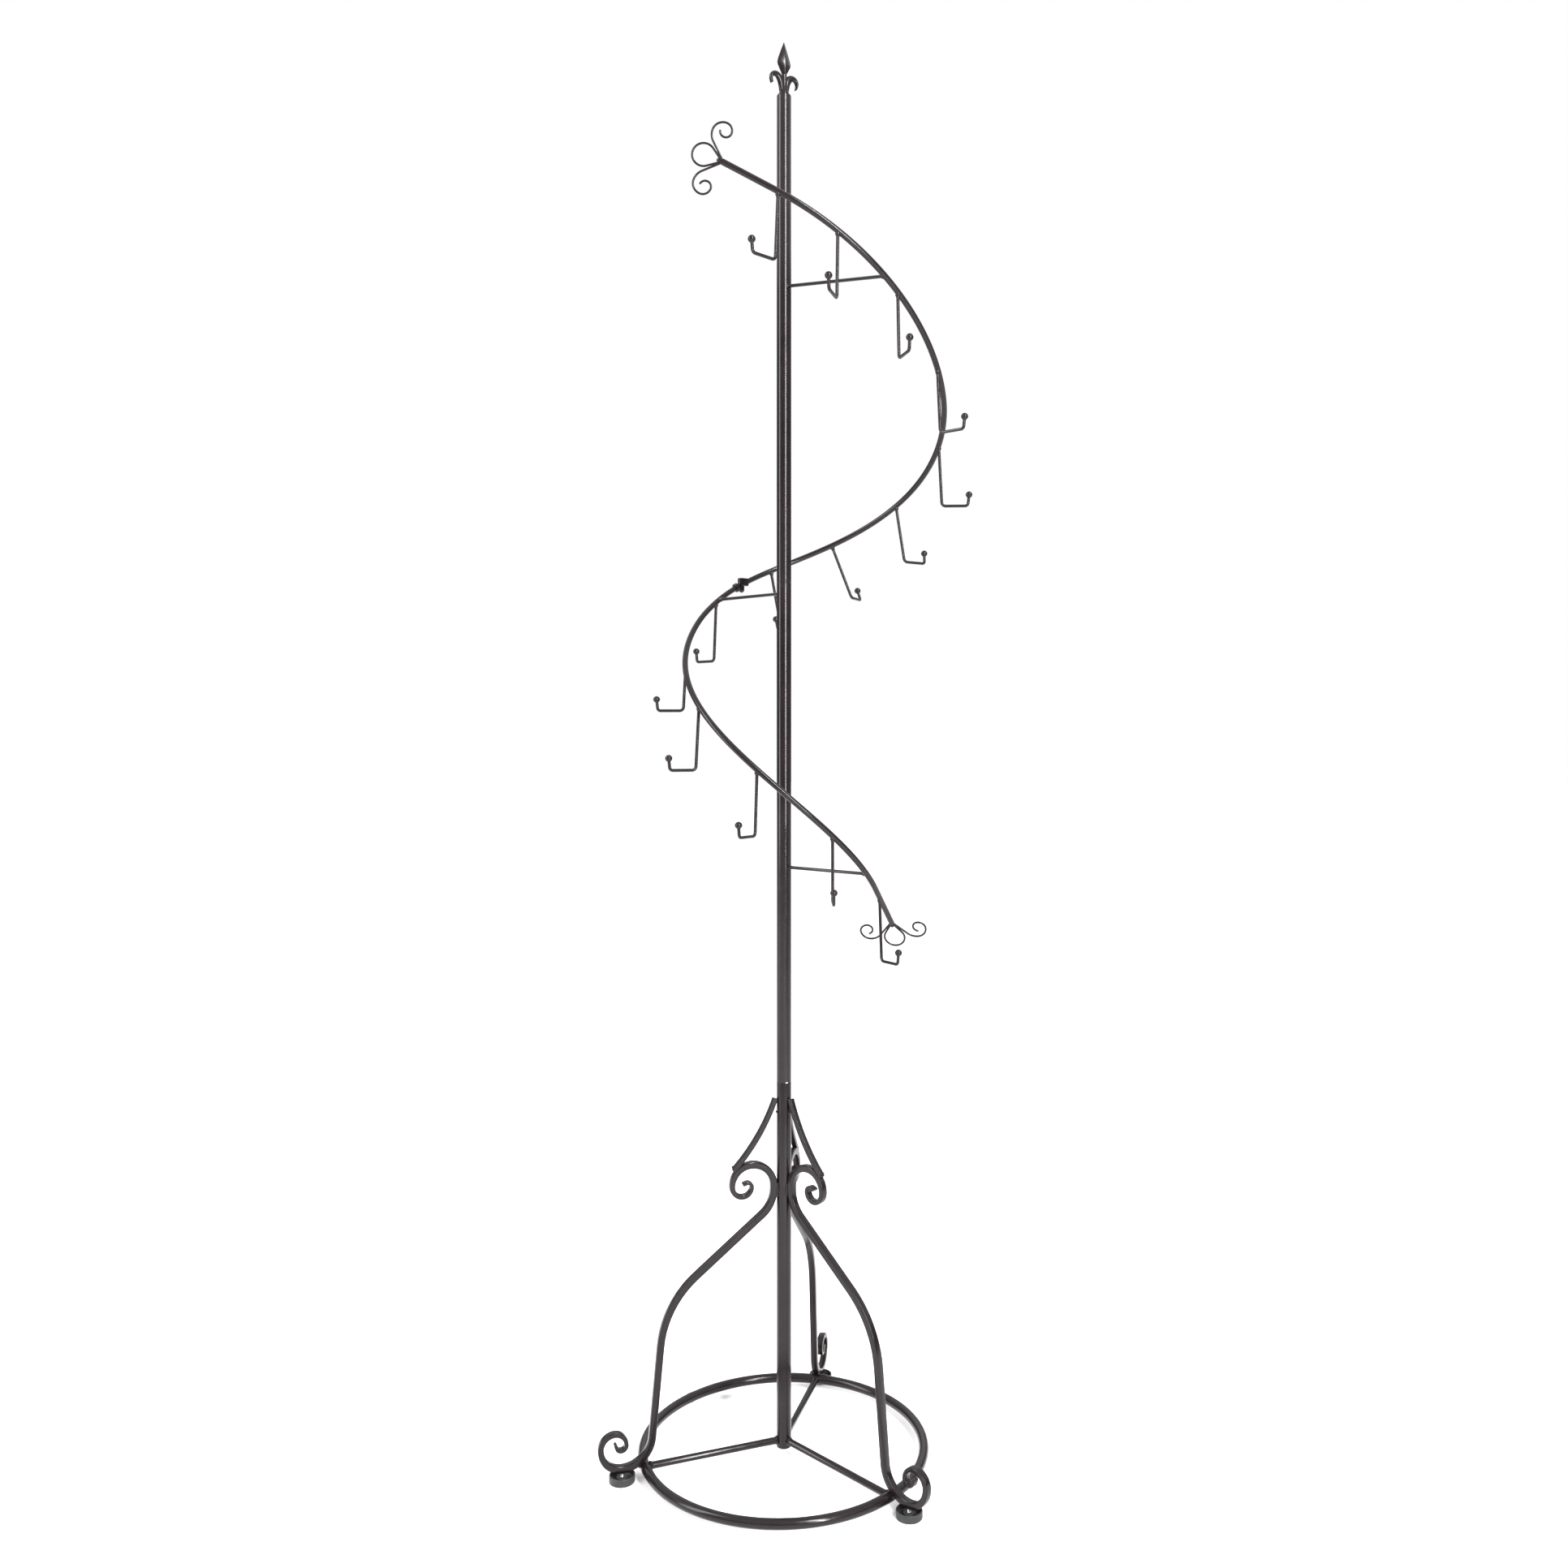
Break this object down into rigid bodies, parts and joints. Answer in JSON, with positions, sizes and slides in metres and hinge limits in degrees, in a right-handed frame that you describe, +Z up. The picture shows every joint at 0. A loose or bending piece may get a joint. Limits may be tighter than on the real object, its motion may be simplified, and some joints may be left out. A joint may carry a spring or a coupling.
{
  "type": "mug tree",
  "caption": "Tall free-standing mug tree: a sectional pole on a scrolled ring base, with a descending spiral rod of ball-tipped hooks and a spear finial.",
  "frame": {"origin": "on the floor under the pole's axis", "axes": "+Z up along the pole; the spiral starts at the front, -Y, and descends anticlockwise seen from above"},
  "size_m": [0.4531, 0.4511, 1.74],
  "materials": {
    "painted_steel": "gloss",
    "zinc_steel": "satin",
    "rubber": "satin"
  },
  "bodies": {
    "base": {"pole_base": "painted_steel", "spigot_low": "zinc_steel", "locating_pin": "zinc_steel", "base_ring": "painted_steel", "spoke_1": "painted_steel", "spoke_2": "painted_steel", "spoke_3": "painted_steel", "leg_1": "painted_steel", "leg_2": "painted_steel", "leg_3": "painted_steel", "strut_1": "painted_steel", "strut_2": "painted_steel", "strut_3": "painted_steel"},
    "middle_section": {"pole_middle": "painted_steel", "spigot_high": "zinc_steel", "spiral_lower": "painted_steel", "coupling_peg": "painted_steel", "coupling_collar": "painted_steel", "tie_mid": "painted_steel", "tie_low": "painted_steel", "hook_09": "painted_steel", "hook_10": "painted_steel", "hook_11": "painted_steel", "hook_12": "painted_steel", "hook_13": "painted_steel", "hook_14": "painted_steel", "low_loop": "painted_steel", "low_curl_a": "painted_steel", "low_curl_b": "painted_steel"},
    "top_section": {"pole_top": "painted_steel", "finial_stem": "painted_steel", "finial_leaf_a": "painted_steel", "finial_leaf_b": "painted_steel", "finial_spear": "painted_steel", "spiral_upper": "painted_steel", "coupling_eye": "painted_steel", "tie_top": "painted_steel", "hook_01": "painted_steel", "hook_02": "painted_steel", "hook_03": "painted_steel", "hook_04": "painted_steel", "hook_05": "painted_steel", "hook_06": "painted_steel", "hook_07": "painted_steel", "hook_08": "painted_steel", "top_loop": "painted_steel", "top_curl_a": "painted_steel", "top_curl_b": "painted_steel"},
    "pad_1": {"foot_pad_1": "rubber"},
    "screw_1": {"foot_screw_1": "zinc_steel"},
    "pad_2": {"foot_pad_2": "rubber"},
    "screw_2": {"foot_screw_2": "zinc_steel"},
    "pad_3": {"foot_pad_3": "rubber"},
    "screw_3": {"foot_screw_3": "zinc_steel"}
  },
  "joints": [
    {"name": "middle_section_lift", "type": "slide", "parent": "base", "child": "middle_section", "axis": [0, 0, 1], "range_m": [0, 0.045]},
    {"name": "top_section_lift", "type": "slide", "parent": "middle_section", "child": "top_section", "axis": [0, 0, 1], "range_m": [0, 0.045]},
    {"name": "pad_1_extend", "type": "slide", "parent": "base", "child": "pad_1", "axis": [0, 0, -1], "range_m": [0, 0.005]},
    {"name": "screw_1_turn", "type": "hinge", "parent": "pad_1", "child": "screw_1", "pos_m": [0.04275, 0.19443, 0], "axis": [0, 0, -1], "range_deg": [0, 2252]},
    {"name": "pad_2_extend", "type": "slide", "parent": "base", "child": "pad_2", "axis": [0, 0, -1], "range_m": [0, 0.005]},
    {"name": "screw_2_turn", "type": "hinge", "parent": "pad_2", "child": "screw_2", "pos_m": [-0.18976, -0.06019, 0], "axis": [0, 0, -1], "range_deg": [0, 2252]},
    {"name": "pad_3_extend", "type": "slide", "parent": "base", "child": "pad_3", "axis": [0, 0, -1], "range_m": [0, 0.005]},
    {"name": "screw_3_turn", "type": "hinge", "parent": "pad_3", "child": "screw_3", "pos_m": [0.14701, -0.13424, 0], "axis": [0, 0, -1], "range_deg": [0, 2252]}
  ],
  "couplings": [
    {"joint": "screw_1_turn", "follows": "pad_1_extend", "rad_per_m": 7854},
    {"joint": "screw_2_turn", "follows": "pad_2_extend", "rad_per_m": 7854},
    {"joint": "screw_3_turn", "follows": "pad_3_extend", "rad_per_m": 7854}
  ]
}
